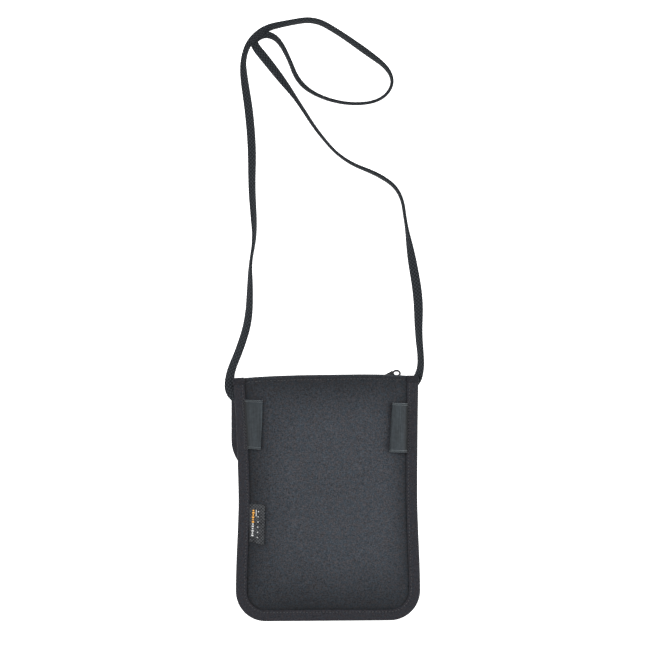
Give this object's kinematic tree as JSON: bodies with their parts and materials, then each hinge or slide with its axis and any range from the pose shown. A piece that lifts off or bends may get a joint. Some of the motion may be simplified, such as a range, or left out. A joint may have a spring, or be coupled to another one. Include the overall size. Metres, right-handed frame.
{
  "type": "neck pouch wallet",
  "caption": "Black fabric neck pouch with bound edges, two side loops, a zip, a front flap pocket and a flat braided neck cord.",
  "frame": {"origin": "on the surface it lies on, under the middle of the pouch", "axes": "+X to the right of the back, +Y towards the zip edge, +Z out of the back side"},
  "size_m": [0.1577, 0.4693, 0.0124],
  "materials": {
    "main_fabric": "matte",
    "binding_tape": "matte",
    "loop_tape": "satin",
    "cord_braid": "matte",
    "label_weave": "matte",
    "zip_tape": "matte",
    "zip_nylon": "satin",
    "zip_metal": "satin",
    "hook_loop": "matte"
  },
  "bodies": {
    "pouch": {"back_panel": "main_fabric", "front_panel": "main_fabric", "pocket_panel": "main_fabric", "edge_binding": "binding_tape", "flap_seam_strip": "main_fabric", "loop_strip": "hook_loop", "zip_tape_front": "zip_tape", "zip_tape_back": "zip_tape", "zip_coil_front": "zip_nylon", "zip_coil_back": "zip_nylon", "zip_stops": "zip_metal", "side_loop_left": "loop_tape", "side_loop_right": "loop_tape", "woven_label": "label_weave", "cord_tail_left": "cord_braid", "cord_tail_right": "cord_braid", "neck_cord": "cord_braid", "zip_facing": "main_fabric"},
    "flap": {"flap_panel": "main_fabric", "flap_binding": "binding_tape", "hook_strip": "hook_loop"},
    "slider": {"zip_slider": "zip_metal"},
    "pull": {"zip_pull": "zip_metal"}
  },
  "joints": [
    {"name": "flap_hinge", "type": "hinge", "parent": "pouch", "child": "flap", "pos_m": [0, 0.077, 0.0013], "axis": [1, 0, 0], "range_deg": [0, 150]},
    {"name": "zip_slide", "type": "slide", "parent": "pouch", "child": "slider", "axis": [-1, 0, 0], "range_m": [0, 0.091]},
    {"name": "pull_hinge", "type": "hinge", "parent": "slider", "child": "pull", "pos_m": [0.041, 0.0895, 0.0011], "axis": [0, 1, 0], "range_deg": [0, 170]}
  ]
}
